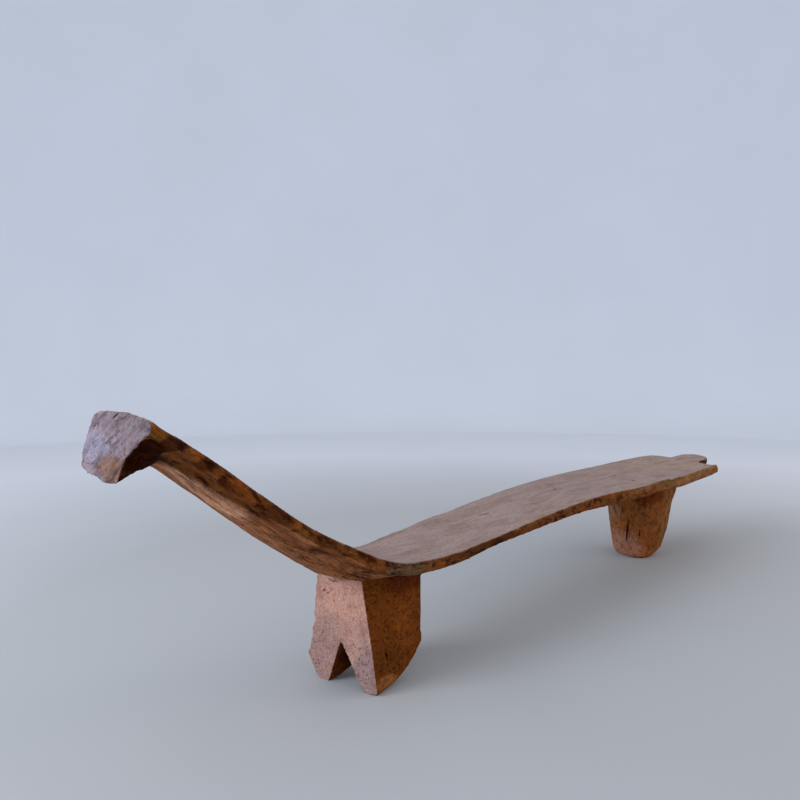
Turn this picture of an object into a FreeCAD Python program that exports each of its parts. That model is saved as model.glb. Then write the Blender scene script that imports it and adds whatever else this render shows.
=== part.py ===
"""A daybed carved from one log: a raised headrest and backrest, a long thin seat that widens towards
the foot, a forked front leg and a round rear stump.

The bed lies along X. The headrest is at -X, the foot board at +X, the near side at -Y. The floor is
Z = 0 and the origin is the middle of the footprint. Lengths are millimetres. The real bed is one
piece of wood, so its members meet face to face along the carver's own lines and nothing moves.
"""
import FreeCAD, Part
import Sketcher
import math
import os
import re

PARTS_FOLDER = "parts"

# Driving sizes. A reach is measured along X from the front face of the front leg, a height from the
# floor, and a near or far size across from the middle line. A step, rise or drop is measured from
# its neighbour. The other sizes are whole widths and thicknesses.
SIZES = (
    ("head_reach", 460),
    ("crest_reach", 440),
    ("neck_reach", 400),
    ("hip_reach", 40),
    ("waist_reach", 200),
    ("board_reach", 1020),
    ("notch_reach", 1608),
    ("shoulder_step", 82),
    ("tongue_step", 217),
    ("crest_height", 512),
    ("head_drop", 95),
    ("neck_drop", 34),
    ("hip_rise", 18),
    ("loin_rise", 29),
    ("dip_height", 214),
    ("seat_height", 250),
    ("backrest_width", 154),
    ("hip_width", 174),
    ("waist_width", 192),
    ("board_width", 290),
    ("neck_edge", 27),
    ("dip_edge", 24),
    ("board_edge", 29),
    ("keel_width", 132),
    ("keel_flat", 114),
    ("keel_drop", 34),
    ("leg_depth", 140),
    ("leg_root", 17),
    ("leg_back_root", 5),
    ("leg_top_near", 43),
    ("leg_top_far", 65),
    ("fork_height", 80),
    ("fork_offset", 7),
    ("fork_near", 67),
    ("fork_far", 77),
    ("near_foot_outer", 80),
    ("near_foot_inner", 48),
    ("far_foot_bulge", 86),
    ("far_foot_outer", 64),
    ("far_foot_inner", 36),
    ("bulge_height", 42),
    ("sole_length", 18),
    ("heel_height", 62),
    ("heel_radius", 300),
    ("rear_leg_reach", 1306),
    ("rear_leg_top", 206),
    ("rear_leg_base", 138),
    ("rear_round", 14),
    ("lobe_round", 18),
    ("overrun", 20),
)

# Sections of the backrest from its lower end to the neck: the share of its length, of its rise, of
# its growth in width and in edge from the neck, of the near side's width and edge on the far side,
# and of the keel's width, flat, drop and sideways lean.
BACKREST_SHARES = (
    (0.0, 0.0, 1.0, 1.0, 1.0, 0.86, 0.60, 0.90, -0.3),
    (0.26, 0.21, 0.6, 0.93, 0.85, 0.70, 0.38, 0.62, -0.8),
    (0.63, 0.595, 0.3, 0.85, 0.70, 0.60, 0.30, 0.50, -1.1),
    (1.0, 1.0, 0.0, 0.78, 0.65, 0.55, 0.26, 0.47, -1.3),
)

# How wide the leg spreads into the plank behind it, as a share of the plank's own half width
flare_share = 0.94

# Where the seat sags between its loin and its lowest part: the share of the leg's depth, and of the
# height left there
sag_place_share = 0.5
sag_height_share = 0.25

# Sections of the seat from the waist to the foot board: the share of its length, of its rise, of its
# growth in width and of the board's edge.
SEAT_SHARES = (
    (0.0, 0.02, 0.0, 0.84),
    (0.16, 0.22, 0.09, 0.90),
    (0.44, 0.74, 0.29, 0.93),
    (0.73, 1.04, 0.50, 1.06),
    (1.0, 1.0, 0.90, 1.0),
)

# The end face of the headrest, from its near top corner round by the far side: the share of the
# backrest's width from the middle line, and of the headrest's drop below its crest.
HEAD_FACE_SHARES = (
    (-0.52, -0.09),
    (-0.13, 0.0),
    (0.34, -0.03),
    (0.43, -0.60),
    (0.40, -0.82),
    (0.08, -1.0),
    (-0.16, -1.0),
    (-0.25, -0.65),
    (-0.52, -0.26),
)
crest_share = -0.13

# The foot board's outline, from the near side of its start round to the far side: the share of the
# way from its start to its shoulder, and of half its width.
NEAR_EDGE_SHARES = (
    (0.19, -0.95),
    (0.25, -1.0),
    (0.33, -1.04),
    (0.46, -1.03),
    (0.62, -1.0),
    (0.78, -0.97),
)
FAR_EDGE_SHARES = ((1.0, 0.61), (0.99, 0.82), (0.88, 0.92), (0.60, 0.95), (0.27, 0.97))
near_tip_shares = (0.875, -0.91)
tongue_root_shares = (0.965, 0.28)
notch_share = -0.46

# The tongue, from its root on the far side round its tip to the notch: the share of the way from the
# notch to the tip, and of half the board's width.
TONGUE_SHARES = ((0.80, 0.31), (1.0, 0.24), (1.0, 0.0), (0.80, -0.30), (0.42, -0.46))

doc = FreeCAD.newDocument("daybed")
sheet = doc.addObject("Spreadsheet::Sheet", "dims")
for row, (alias, size) in enumerate(SIZES, start=1):
    sheet.set(f"A{row}", alias)
    sheet.set(f"B{row}", str(size))
    sheet.setAlias(f"B{row}", alias)
doc.recompute()

SIZE_WORDS = re.compile(r"\b(" + "|".join(alias for alias, size in SIZES) + r")\b")

# Places that follow from the sizes, each with the one that it is built up from
shoulder_reach = "(notch_reach + shoulder_step)"
foot_reach = "(notch_reach + tongue_step)"
loin_height = "(dip_height + loin_rise)"
hip_height = "(dip_height + loin_rise + hip_rise)"
neck_height = "(crest_height - neck_drop)"
leg_height = "(dip_height - leg_root)"
leg_back_height = "(dip_height - dip_edge - leg_back_root)"

# The places of the front leg's front face and of the middle line that put the middle of the whole
# bed at X = 0 and Y = 0: the near lobe stands out further than the far shoulder
FRONT_FACE = f"(head_reach - {foot_reach}) / 2"
widest_near_share = min(across for along, across in NEAR_EDGE_SHARES)
widest_far_share = max(across for along, across in FAR_EDGE_SHARES)
MIDDLE_LINE = f"-board_width / 4 * {widest_near_share + widest_far_share}"


def bound(text):
    """Turn plain words into an expression over the sheet."""
    return SIZE_WORDS.sub(r"dims.\1", text)


def between(low, high, share):
    """Give the expression of a place a share of the way from one size to another."""
    return f"({low} + ({high} - {low}) * {share})"


def new_body(label, place=FRONT_FACE):
    """Start a member whose own X is measured from a place along the bed."""
    body = doc.addObject("PartDesign::Body", label)
    body.Label = label
    body.setExpression("Placement.Base.x", bound(place))
    body.setExpression("Placement.Base.y", bound(MIDDLE_LINE))
    return body


def new_sketch(body, role, offset="0"):
    """Attach a sketch to one of the member's own planes, moved along the plane's normal."""
    sketch = body.newObject("Sketcher::SketchObject", f"{body.Label}_outline")
    plane = next(item for item in body.Origin.OriginFeatures if item.Role == role)
    sketch.AttachmentSupport = [(plane, "")]
    sketch.MapMode = "FlatFace"
    sketch.setExpression("AttachmentOffset.Base.z", bound(offset))
    return sketch


def point_at(sketch, corner):
    """Work out where a corner, a pair of expressions, lies on a sketch."""
    across, up = (float(sketch.evalExpression(bound(text))) for text in corner)
    return FreeCAD.Vector(across, up, 0)


def hold_point(sketch, line, end, corner):
    """Hold one end of a line at a corner that is worked out from the sheet."""
    point = point_at(sketch, corner)
    for kind, size, text in (("DistanceX", point.x, corner[0]), ("DistanceY", point.y, corner[1])):
        index = sketch.addConstraint(Sketcher.Constraint(kind, -1, 1, line, end, size))
        sketch.setExpression(f"Constraints[{index}]", bound(text))


def polygon(sketch, corners):
    """Draw a closed outline of straight lines through some corners."""
    count = len(corners)
    points = [point_at(sketch, corner) for corner in corners]
    for index, point in enumerate(points):
        sketch.addGeometry(Part.LineSegment(point, points[(index + 1) % count]), False)
    for index in range(count):
        sketch.addConstraint(Sketcher.Constraint("Coincident", index, 2, (index + 1) % count, 1))
    for index, corner in enumerate(corners):
        hold_point(sketch, index, 1, corner)


def add_loft(body, sketches):
    """Join sections by straight lines."""
    doc.recompute()
    feature = body.newObject("PartDesign::AdditiveLoft", f"{body.Label}_loft")
    feature.Profile = sketches[0]
    feature.Sections = sketches[1:]
    feature.Ruled = True


def loft(label, sections):
    """A member made of sections, each a place along X and its corners."""
    body = new_body(label)
    sketches = []
    for place, corners in sections:
        sketch = new_sketch(body, "YZ_Plane", place)
        polygon(sketch, corners)
        sketches.append(sketch)
    add_loft(body, sketches)


def add_pad(body, sketch, length):
    """Raise an outline along its plane's normal."""
    feature = body.newObject("PartDesign::Pad", f"{body.Label}_pad")
    feature.Profile = sketch
    feature.setExpression("Length", bound(length))
    doc.recompute()
    return feature


def add_rounds(body, feature, names, radius):
    """Round some edges of a feature."""
    fillet = body.newObject("PartDesign::Fillet", f"{body.Label}_round")
    fillet.Base = (feature, names)
    fillet.setExpression("Radius", bound(radius))
    doc.recompute()
    return fillet


def edges_at_corners(feature, sketch, corners):
    """Name the edges of a pad that stand on some corners of its outline."""
    spots = [sketch.Geometry[corner].StartPoint for corner in corners]
    to_sketch = sketch.Placement.inverse()
    names = []
    for index, edge in enumerate(feature.Shape.Edges, start=1):
        ends = [to_sketch.multVec(vertex.Point) for vertex in edge.Vertexes]
        for spot in spots:
            steps = [FreeCAD.Vector(end.x - spot.x, end.y - spot.y, 0).Length for end in ends]
            if max(steps) < Part.Precision.confusion() * 10:
                names.append(f"Edge{index}")
    return names


def backrest_section(shares):
    """Give the place, the sizes of the plank and those of the keel at one section of the backrest."""
    along, rise, width, far_width, far_edge, root, flat, drop, lean = shares
    top = between(hip_height, neck_height, rise)
    half = between("backrest_width", "hip_width", width) + " / 2"
    edge = between("neck_edge", "dip_edge", width)
    middle = f"(leg_top_far - leg_top_near) / 2 * {lean}"
    plank = (top, half, edge, f"{half} * {far_width}", f"{edge} * {far_edge}")
    keel = (middle, f"keel_width / 2 * {root}", f"keel_flat / 2 * {flat}", f"keel_drop * {drop}")
    return "-" + between("hip_reach", "neck_reach", along), plank, keel


def plank_corners(top, near, edge, far=None, far_edge=None):
    """Give the corners of a plank's section: near top, far top, far bottom and near bottom."""
    far = far or near
    far_edge = far_edge or edge
    return (f"-{near}", top), (far, top), (far, f"{top} - {far_edge}"), (f"-{near}", f"{top} - {edge}")


def keel_corners(bottom, low, keel):
    """Give the corners of the keel's section below the plank, from the far side."""
    middle, root, flat = keel[:3]
    return (
        (f"{middle} + {root}", bottom),
        (f"{middle} + {flat}", low),
        (f"{middle} - {flat}", low),
        (f"{middle} - {root}", bottom),
    )


def backrest_corners(plank, keel):
    """Give the corners of the backrest's plank and of its keel at one section."""
    plank_places = plank_corners(*plank)
    bottom = plank_places[-1][1]
    return plank_places, keel_corners(bottom, f"{bottom} - {keel[3]}", keel)


def seat_section(shares):
    """Give the place and the corners of one section of the seat."""
    along, rise, width, edge = shares
    top = between("dip_height", "seat_height", rise)
    half = between("waist_width", "board_width", width) + " / 2"
    return between("waist_reach", "board_reach", along), plank_corners(top, half, f"board_edge * {edge}")


def make_headrest():
    """The hooked block at the head: a tall end face that narrows to a lip, joined to the neck."""
    body = new_body("headrest")
    end = new_sketch(body, "YZ_Plane", "-crest_reach")
    end.AttachmentOffset = FreeCAD.Placement(FreeCAD.Vector(), FreeCAD.Rotation(FreeCAD.Vector(1, 0, 0), 1))
    end.setExpression("AttachmentOffset.Base.y", bound("crest_height"))
    slant = "asin((head_reach - crest_reach) / head_drop)"
    end.setExpression("AttachmentOffset.Rotation.Angle", bound(slant))
    face = [(f"backrest_width * {across}", f"head_drop * {down}") for across, down in HEAD_FACE_SHARES]
    polygon(end, face)
    place, plank, keel = backrest_section(BACKREST_SHARES[-1])
    (near_top, far_top, far_low, near_low), ridge = backrest_corners(plank, keel)
    neck = new_sketch(body, "YZ_Plane", place)
    crest = (f"backrest_width * {crest_share}", near_top[1])
    polygon(neck, (near_top, crest, far_top, far_low, *ridge, near_low))
    add_loft(body, [end, neck])


def make_backrest():
    """The sloping plank that the back lies on, thinner at its far edge, and the keel left under it."""
    planks = []
    ridges = []
    for place, plank, keel in (backrest_section(shares) for shares in BACKREST_SHARES):
        (near_top, far_top, far_low, near_low), ridge = backrest_corners(plank, keel)
        planks.append((place, (near_top, far_top, far_low, ridge[0], ridge[-1], near_low)))
        ridges.append((place, ridge))
    loft("backrest", planks)
    loft("backrest_keel", ridges)


def make_seat_dip():
    """The hollow of the seat over the front leg, whose top meets its flat underside on a slant."""
    hip_place, hip_plank, hip_keel = backrest_section(BACKREST_SHARES[0])
    half = hip_plank[1]
    front_keel = ("(leg_top_far - leg_top_near) / 2", "keel_width / 2", "(leg_top_far + leg_top_near) / 2")
    back_keel = ("(fork_far - fork_near) / 2", f"{half} * {flare_share}", "(fork_far + fork_near) / 2")
    sag_keel = [between(front, back, sag_place_share) for front, back in zip(front_keel, back_keel)]
    sag_place = f"leg_depth * {sag_place_share}"
    sag_top = between("dip_height", loin_height, sag_height_share)
    sag_low = between(leg_height, leg_back_height, sag_place_share)
    waist_place, waist = seat_section(SEAT_SHARES[0])
    waist_low = waist[-1][1]
    sections = (
        (hip_place, plank_corners(*hip_plank), hip_keel, f"{hip_plank[0]} - {hip_plank[2]} - {hip_keel[3]}"),
        ("0", plank_corners(loin_height, half, "dip_edge"), front_keel, leg_height),
        (sag_place, plank_corners(sag_top, half, "dip_edge"), sag_keel, sag_low),
        ("leg_depth", plank_corners("dip_height", half, "dip_edge"), back_keel, leg_back_height),
        (waist_place, waist, back_keel, waist_low),
    )
    rows = []
    for place, plank, keel, low in sections:
        near_top, far_top, far_low, near_low = plank
        rows.append((place, (near_top, far_top, far_low, *keel_corners(near_low[1], low, keel), near_low)))
    loft("seat_dip", rows)


def make_seat():
    """The long thin plank between the legs, rising gently and widening towards the foot."""
    loft("seat", [seat_section(shares) for shares in SEAT_SHARES])


def board_corner(shares):
    """Give a corner of the foot board's outline."""
    along, across = shares
    return between("board_reach", shoulder_reach, along), f"board_width / 2 * {across}"


def make_flat_member(label, corners, rounded):
    """A flat member at seat height with some of its corners rounded."""
    body = new_body(label)
    sketch = new_sketch(body, "XY_Plane", "seat_height - board_edge")
    polygon(sketch, corners)
    slab = add_pad(body, sketch, "board_edge")
    add_rounds(body, slab, edges_at_corners(slab, sketch, rounded), "lobe_round")


def make_foot_board():
    """The widest part of the seat, over the rear leg, with a near lobe, a notch and a far shoulder."""
    start_half = seat_section(SEAT_SHARES[-1])[1][1][0]
    near_side = [("board_reach", f"-{start_half}")] + [board_corner(shares) for shares in NEAR_EDGE_SHARES]
    end = [
        board_corner(near_tip_shares),
        ("notch_reach", f"board_width / 2 * {notch_share}"),
        board_corner(tongue_root_shares),
    ]
    far_side = [board_corner(shares) for shares in FAR_EDGE_SHARES] + [("board_reach", start_half)]
    lobe = len(near_side) - 1
    shoulder = len(near_side) + len(end)
    make_flat_member("foot_board", near_side + end + far_side, (lobe, shoulder, shoulder + 1))


def make_foot_tongue():
    """The rounded tongue that sticks out of the foot board."""
    root = board_corner(tongue_root_shares)
    notch = ("notch_reach", f"board_width / 2 * {notch_share}")
    corners = [root]
    for along, across in TONGUE_SHARES:
        corners.append((between("notch_reach", foot_reach, along), f"board_width / 2 * {across}"))
    make_flat_member("foot_tongue", corners + [notch], range(1, len(corners)))


def make_front_leg():
    """The block of the front leg above its fork, wider behind than in front at its top."""
    fork = (("fork_far", "fork_height"), ("-fork_near", "fork_height"))
    front = (("-leg_top_near", leg_height), ("leg_top_far", leg_height), *fork)
    back = (("-fork_near", leg_back_height), ("fork_far", leg_back_height), *fork)
    loft("front_leg", (("0", front), ("leg_depth", back)))


def make_front_foot(label, corners):
    """One foot of the front leg's fork, flat under its front and rounded up to the heel behind."""
    body = new_body(label)
    front = new_sketch(body, "YZ_Plane")
    polygon(front, corners)
    block = add_pad(body, front, "leg_depth")
    heel = new_sketch(body, "XZ_Plane")
    corners = (
        ("sole_length", "0"),
        ("leg_depth", "heel_height"),
        ("leg_depth + overrun", "heel_height"),
        ("leg_depth + overrun", "-overrun"),
        ("sole_length", "-overrun"),
    )
    points = [point_at(heel, corner) for corner in corners]
    radius = point_at(heel, ("heel_radius", "0")).x
    chord = points[1] - points[0]
    inward = FreeCAD.Vector(-chord.y, chord.x, 0).normalize()
    depth = math.sqrt(radius ** 2 - (chord.Length / 2) ** 2)
    centre = points[0] + chord / 2 + inward * depth
    sag = centre - inward * radius
    heel.addGeometry(Part.Arc(points[0], sag, points[1]), False)
    for line in range(1, 5):
        heel.addGeometry(Part.LineSegment(points[line], points[(line + 1) % 5]), False)
    for line in range(5):
        ends = (line, 2, (line + 1) % 5, 1)
        heel.addConstraint(Sketcher.Constraint("Coincident", *ends))
    bend = heel.addConstraint(Sketcher.Constraint("Radius", 0, radius))
    heel.setExpression(f"Constraints[{bend}]", bound("heel_radius"))
    for line, corner in enumerate(corners):
        hold_point(heel, line, 1, corner)
    pocket = body.newObject("PartDesign::Pocket", f"{label}_heel")
    pocket.Profile = heel
    pocket.SideType = "Symmetric"
    pocket.Type = "ThroughAll"
    doc.recompute()
    if pocket.Shape.Volume >= block.Shape.Volume:
        raise RuntimeError(f"the heel of {label} cuts nothing")


def make_front_feet():
    """The two feet of the fork, which meet at its top."""
    top = ("fork_offset", "fork_height")
    near = (
        ("-fork_near", "fork_height"),
        top,
        ("-near_foot_inner", "0"),
        ("-near_foot_outer", "0"),
    )
    far = (
        top,
        ("fork_far", "fork_height"),
        ("far_foot_bulge", "bulge_height"),
        ("far_foot_outer", "0"),
        ("far_foot_inner", "0"),
    )
    make_front_foot("front_foot_near", near)
    make_front_foot("front_foot_far", far)


def make_rear_leg():
    """The round stump under the foot board, tapering down to a rounded sole."""
    body = new_body("rear_leg", f"{FRONT_FACE} + rear_leg_reach")
    sketch = new_sketch(body, "XZ_Plane")
    corners = (
        ("0", "0"),
        ("rear_leg_base / 2", "0"),
        ("rear_leg_top / 2", "seat_height - board_edge"),
        ("0", "seat_height - board_edge"),
    )
    polygon(sketch, corners)
    doc.recompute()
    stump = body.newObject("PartDesign::Revolution", "rear_leg_turn")
    stump.Profile = sketch
    stump.ReferenceAxis = (sketch, ["V_Axis"])
    stump.Angle = 360
    doc.recompute()
    names = []
    for index, edge in enumerate(stump.Shape.Edges, start=1):
        if len(edge.Vertexes) == 1 and edge.CenterOfMass.z < stump.Shape.CenterOfMass.z:
            names.append(f"Edge{index}")
    add_rounds(body, stump, names, "rear_round")


def check_model():
    """Stop if any object failed or any member isn't one valid solid."""
    for item in doc.Objects:
        if "Invalid" in item.State or "Error" in item.State:
            raise RuntimeError(f"{item.Name} failed: {item.State}")
    for body in members:
        shape = body.Shape
        if shape.isNull() or not shape.isValid() or len(shape.Solids) != 1:
            raise RuntimeError(f"{body.Label} isn't one valid solid")


make_headrest()
make_backrest()
make_seat_dip()
make_seat()
make_foot_board()
make_foot_tongue()
make_front_leg()
make_front_feet()
make_rear_leg()
doc.recompute()

members = [item for item in doc.Objects if item.isDerivedFrom("PartDesign::Body")]
check_model()
os.makedirs(PARTS_FOLDER, exist_ok=True)
for body in members:
    body.Shape.exportStep(os.path.join(PARTS_FOLDER, f"{body.Label}.step"))
    box = body.Shape.BoundBox
    spans = ((box.XMin, box.XMax), (box.YMin, box.YMax), (box.ZMin, box.ZMax))
    print(body.Label, "spans", ", ".join(f"{low:.1f} to {high:.1f}" for low, high in spans))
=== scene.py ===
"""The looks of a daybed carved from one log: its hewn surface, its cracks and pits, and its weathered
wood.

The bed lies along X with its head at -X, its foot at +X and its near side at -Y. One closed surface
is made round all the carved members, carved further in code, painted, and cut again into the
members. Lengths are metres, and millimetres in the tables that say so.
"""
import math

import bmesh
import bpy
import numpy as np
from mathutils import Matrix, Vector
from mathutils.bvhtree import BVHTree


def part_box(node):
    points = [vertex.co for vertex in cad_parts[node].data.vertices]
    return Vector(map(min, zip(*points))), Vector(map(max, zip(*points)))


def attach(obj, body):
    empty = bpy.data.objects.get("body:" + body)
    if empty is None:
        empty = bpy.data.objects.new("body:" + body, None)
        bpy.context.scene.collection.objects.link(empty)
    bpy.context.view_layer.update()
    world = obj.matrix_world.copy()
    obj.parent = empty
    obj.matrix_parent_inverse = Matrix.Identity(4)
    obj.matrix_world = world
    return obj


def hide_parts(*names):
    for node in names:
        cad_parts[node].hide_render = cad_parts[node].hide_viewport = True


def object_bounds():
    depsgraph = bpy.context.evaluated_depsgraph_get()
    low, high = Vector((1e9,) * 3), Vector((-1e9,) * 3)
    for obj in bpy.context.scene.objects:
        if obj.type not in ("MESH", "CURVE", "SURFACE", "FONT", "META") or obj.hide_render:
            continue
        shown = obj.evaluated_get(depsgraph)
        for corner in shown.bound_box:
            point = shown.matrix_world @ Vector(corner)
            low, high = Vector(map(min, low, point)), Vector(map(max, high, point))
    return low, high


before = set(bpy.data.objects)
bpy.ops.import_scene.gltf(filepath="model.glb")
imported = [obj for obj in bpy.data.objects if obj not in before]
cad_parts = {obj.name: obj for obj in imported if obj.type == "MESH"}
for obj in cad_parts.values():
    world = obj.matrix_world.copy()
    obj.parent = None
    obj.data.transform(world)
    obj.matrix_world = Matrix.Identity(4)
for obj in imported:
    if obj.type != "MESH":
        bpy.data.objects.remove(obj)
cad_low, cad_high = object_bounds()

# Places that follow from the frame
LEG_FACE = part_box("front_leg")[0].x
LEG_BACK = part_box("front_leg")[1].x
LEG_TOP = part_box("front_leg")[1].z
LEG_BACK_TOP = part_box("seat_dip")[0].z
FORK_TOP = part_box("front_leg")[0].z
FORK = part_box("front_foot_near")[1].y
STUMP_LOW, STUMP_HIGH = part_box("rear_leg")
STUMP = (STUMP_LOW + STUMP_HIGH) / 2
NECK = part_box("backrest")[0].x
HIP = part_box("backrest")[1].x
KEEL_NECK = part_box("backrest_keel")[1].z
KEEL_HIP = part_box("backrest")[0].z
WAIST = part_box("seat")[0].x
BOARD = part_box("foot_board")[0].x
SEAT_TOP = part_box("foot_board")[1].z
MIDDLE = STUMP.y

# The sections of the frame: shares of the way from the hip to the neck, from the waist to the foot
# board, and from the start of the foot board to its shoulder on the near and the far side
ARM_SHARES = (0.26, 0.63)
SEAT_SHARES = (0.16, 0.44, 0.73)
NEAR_SHARES = (0.19, 0.25, 0.33, 0.46, 0.62, 0.78)
FAR_SHARES = (0.27, 0.6)
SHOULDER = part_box("foot_board")[1].x
CREST_PLACE = NECK - 0.04

# Where the tongue's root meets the far shoulder, how far beyond the notch it is cut off, and how far
# below the board and the fork the legs are cut off
TONGUE_ROOT = (0.987, 0.0457)
NOTCH_ROOM = 0.003
CUT_ROOM = 0.006

# Millimetres in a metre
MM = 1000

# The spacing of the carved surface's points
VOXEL = 0.0025

# How far the carved surface leaves the frame's plain plank, at places along the bed: the arm's upper
# face is a little higher, and the seat is thinner at its near edge than in its middle
ARM_LIFT = (
    (-1.13, -1.11, -1.09, -1.07, -1.04, -1.0, -0.955, -0.9),
    (-0.004, -0.002, 0.0, 0.0035, 0.0055, 0.005, 0.001, 0.0),
)
EDGE_LIFT = (
    (-0.52, -0.46, -0.39, -0.33, -0.25, -0.17, -0.08, 0.0, 0.12),
    (0.0, 0.003, 0.007, 0.009, 0.007, 0.005, 0.004, 0.004, 0.0),
)


def lattice(cells, seed):
    """Give each whole-number cell a steady number from 0 to 1."""
    mixed = cells[:, 0] * 73856093 ^ cells[:, 1] * 19349663 ^ cells[:, 2] * 83492791
    mixed = (mixed ^ (seed + 1) * 97531) & 0x7FFFFFFF
    for factor in (0x2C1B3C6D, 0x297A2D39):
        mixed = ((mixed >> 15) ^ mixed) * factor & 0x7FFFFFFF
    return (((mixed >> 15) ^ mixed) & 0xFFFF) / 0xFFFF


def noise(points, seed):
    """Smooth noise from -1 to 1 with about one swell in each unit."""
    low = np.floor(points).astype(np.int64)
    part = points - low
    part = part * part * (3 - 2 * part)
    total = np.zeros(len(points))
    for corner in np.ndindex(2, 2, 2):
        weight = np.prod(np.where(corner, part, 1 - part), axis=1)
        total += weight * lattice(low + np.array(corner), seed)
    return total * 2 - 1


def rough(points, seed):
    """Noise with finer noise on it."""
    total = np.zeros(len(points))
    for octave in range(3):
        total += noise(points * 2 ** octave, seed + octave) / 2 ** (octave + 1)
    return total


def cells_at(points, seed):
    """Give the distance to the nearest scattered centre, and that centre's own number from 0 to 1."""
    home = np.floor(points).astype(np.int64)
    nearest = np.full(len(points), 9.0)
    number = np.zeros(len(points))
    for step in np.ndindex(3, 3, 3):
        cell = home + np.array(step) - 1
        centre = cell + np.stack([lattice(cell, seed + axis) for axis in range(3)], axis=1)
        distance = np.linalg.norm(points - centre, axis=1)
        number = np.where(distance < nearest, lattice(cell, seed + 3), number)
        nearest = np.minimum(nearest, distance)
    return nearest, number


def ramp(value, low, high):
    """Rise smoothly from 0 at low to 1 at high."""
    part = np.clip((value - low) / (high - low), 0, 1)
    return part * part * (3 - 2 * part)


def hill(value):
    """Fall smoothly from 1 at 0 to 0 at 1 and beyond."""
    return np.clip(1 - value * value, 0, 1) ** 2


def join_members():
    """Make one even mesh round all the carved members, and a tree that finds places on them."""
    joined = bmesh.new()
    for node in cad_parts.values():
        joined.from_mesh(node.data)
    tree = BVHTree.FromBMesh(joined)
    mesh = bpy.data.meshes.new("log")
    joined.to_mesh(mesh)
    joined.free()
    holder = bpy.data.objects.new("log", mesh)
    bpy.context.scene.collection.objects.link(holder)
    remesh = holder.modifiers.new("even", "REMESH")
    remesh.mode = "VOXEL"
    remesh.voxel_size = VOXEL
    graph = bpy.context.evaluated_depsgraph_get()
    even = bpy.data.meshes.new_from_object(holder.evaluated_get(graph))
    bpy.data.objects.remove(holder)
    return even, tree


def rows(items, field, width=3, kind=np.float32):
    """Read one field of many mesh items as rows of numbers."""
    values = np.zeros(len(items) * width, kind)
    items.foreach_get(field, values)
    return values.reshape(-1, width)


def column(items, field):
    """Read one whole number of each of many mesh items."""
    return rows(items, field, 1, np.int32)[:, 0]


# How far a turn of smoothing moves each point towards its neighbours, and then back
RELAX_STEPS = (0.5, -0.52)


class Surface:
    """The bed's surface as arrays: its points, their normals and the edges between them."""

    def __init__(self, mesh):
        self.mesh = mesh
        self.read()

    def read(self):
        """Read the mesh, also after its faces have changed."""
        self.points = rows(self.mesh.vertices, "co").astype(float)
        self.edges = rows(self.mesh.edges, "vertices", 2, np.int32)
        self.count = np.maximum(np.bincount(self.edges.ravel(), minlength=len(self.points)), 1)
        self.refresh()

    def refresh(self):
        """Write the points to the mesh and work out the normals."""
        self.mesh.vertices.foreach_set("co", self.points.astype(np.float32).ravel())
        self.mesh.update()
        self.normals = rows(self.mesh.vertex_normals, "vector").astype(float)

    def spread(self, values):
        """Give the mean of each point's neighbours."""
        one, two = self.edges.T
        total = np.bincount(one, values[two], len(values)) + np.bincount(two, values[one], len(values))
        return total / self.count

    def soften(self, values, turns):
        """Blur a number of each point."""
        for turn in range(turns):
            values = (values + self.spread(values)) / 2
        return values

    def relax(self, turns):
        """Smooth the surface and swell it back, so that it keeps its size."""
        for step in RELAX_STEPS * turns:
            mean = np.stack([self.spread(self.points[:, axis]) for axis in range(3)], axis=1)
            self.points += (mean - self.points) * step
        self.refresh()

    def push(self, height):
        """Move each point out along its normal, or in where the height is below zero."""
        self.points += self.normals * height[:, None]
        self.refresh()

    def bulge(self, turns):
        """Give how far each point stands out of its surroundings."""
        mean = np.stack([self.soften(self.points[:, axis], turns) for axis in range(3)], axis=1)
        return ((self.points - mean) * self.normals).sum(axis=1)


def flowing(places, stations, values):
    """Give a smooth curve through some values at some stations."""
    steps = np.diff(stations)
    slopes = np.diff(values) / steps
    inner = (steps[1:] * slopes[:-1] + steps[:-1] * slopes[1:]) / (steps[1:] + steps[:-1])
    turns = np.concatenate([slopes[:1], inner, slopes[-1:]])
    index = np.clip(np.searchsorted(stations, places) - 1, 0, len(steps) - 1)
    part = np.clip((places - stations[index]) / steps[index], 0, 1)
    rest = 1 - part
    start = (1 + 2 * part) * rest ** 2 * values[index] + part * rest ** 2 * steps[index] * turns[index]
    leave = part ** 2 * rest * steps[index] * turns[index + 1]
    return start + (3 - 2 * part) * part ** 2 * values[index + 1] - leave


def between(low, high, shares):
    """Give places that lie shares of the way from one place to another."""
    return [low + (high - low) * share for share in shares]


def frame_line(board_shares, probe):
    """Give the frame's sections along X and what the probe finds at each."""
    arm = between(HIP, NECK, ARM_SHARES)
    leg = [LEG_FACE, (LEG_FACE + LEG_BACK) / 2, LEG_BACK]
    seat = between(WAIST, BOARD, SEAT_SHARES)
    board = between(BOARD, SHOULDER, board_shares)
    stations = np.array(sorted([CREST_PLACE + 0.001, NECK, HIP, *arm, *leg, WAIST, *seat, BOARD, *board]))
    return stations, np.array([probe(place) for place in stations])


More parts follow.
